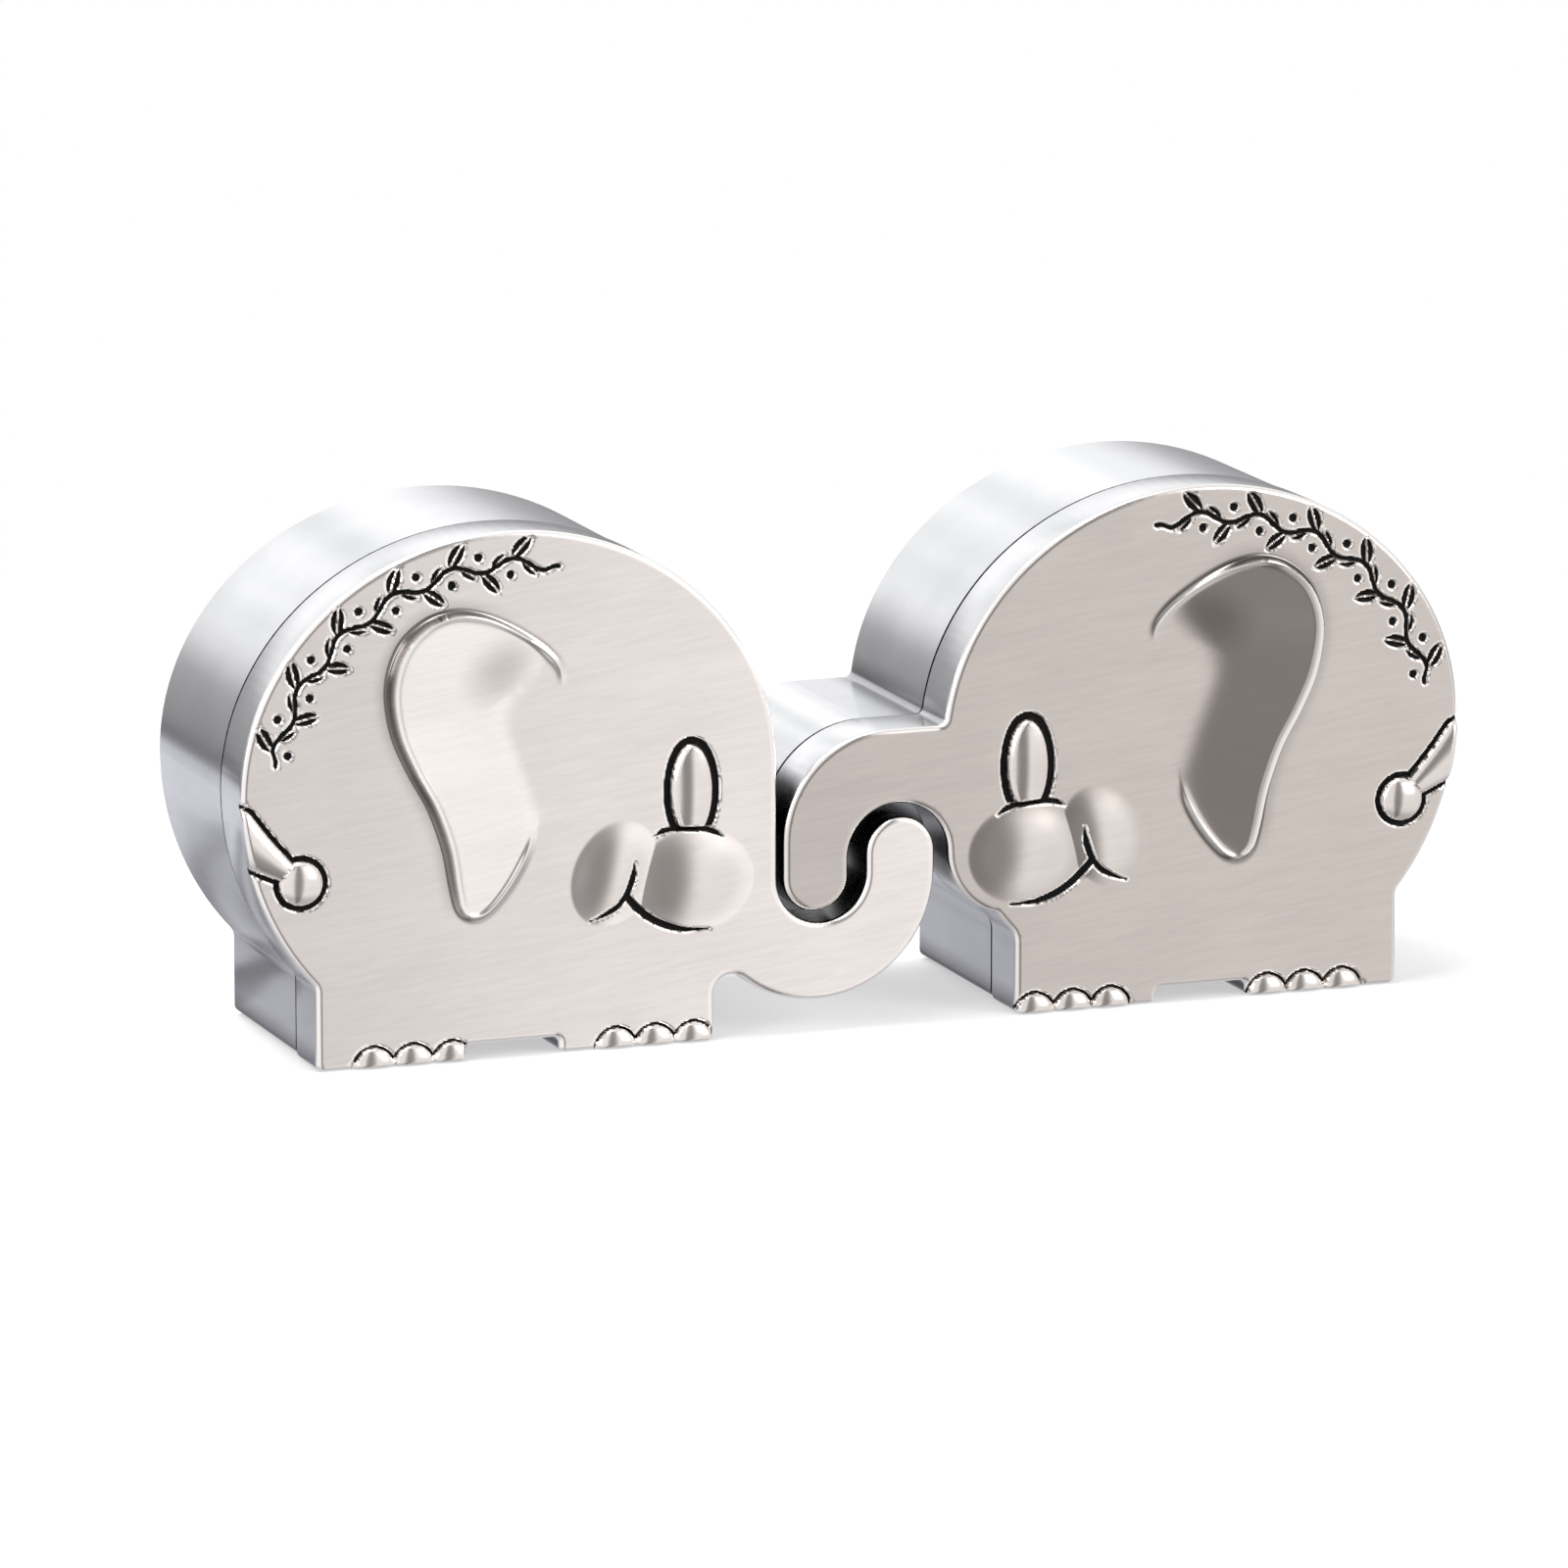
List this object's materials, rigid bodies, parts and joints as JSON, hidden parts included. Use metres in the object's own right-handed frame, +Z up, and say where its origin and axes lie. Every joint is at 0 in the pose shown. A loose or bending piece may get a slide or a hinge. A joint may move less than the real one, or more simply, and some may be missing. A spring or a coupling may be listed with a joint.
{
  "type": "baby tooth and curl keepsake box",
  "caption": "Linked elephant keepsake boxes for a first tooth and a curl; trunks hook together, and each metal body has a push-fit front cover with cast relief and a velvet lining.",
  "frame": {"origin": "on the table under the middle of the linked pair", "axes": "+X along the pair to the curl box, +Y from the front faces to the backs, +Z up"},
  "size_m": [0.1234, 0.0277, 0.0504],
  "materials": {
    "polished_nickel": "polished plated casting",
    "brushed_pewter": "brushed, antiqued dark in the recesses",
    "velvet": "short pile"
  },
  "bodies": {
    "tooth_box": {"tooth_box_body": "polished_nickel", "tooth_box_floor_pad": "velvet", "tooth_box_wall_lining": "velvet"},
    "tooth_lid": {"tooth_box_lid": "brushed_pewter", "tooth_lid_pad": "velvet"},
    "curl_box": {"curl_box_body": "polished_nickel", "curl_box_floor_pad": "velvet", "curl_box_wall_lining": "velvet"},
    "curl_lid": {"curl_box_lid": "brushed_pewter", "curl_lid_pad": "velvet"}
  },
  "joints": [
    {"name": "tooth_cover_off", "type": "slide", "parent": "tooth_box", "child": "tooth_lid", "axis": [0, -1, 0], "range_m": [0, 0.04]},
    {"name": "curl_box_lift", "type": "slide", "parent": "tooth_box", "child": "curl_box", "axis": [0, 0, 1], "range_m": [0, 0.035]},
    {"name": "curl_cover_off", "type": "slide", "parent": "curl_box", "child": "curl_lid", "axis": [0, -1, 0], "range_m": [0, 0.04]}
  ]
}
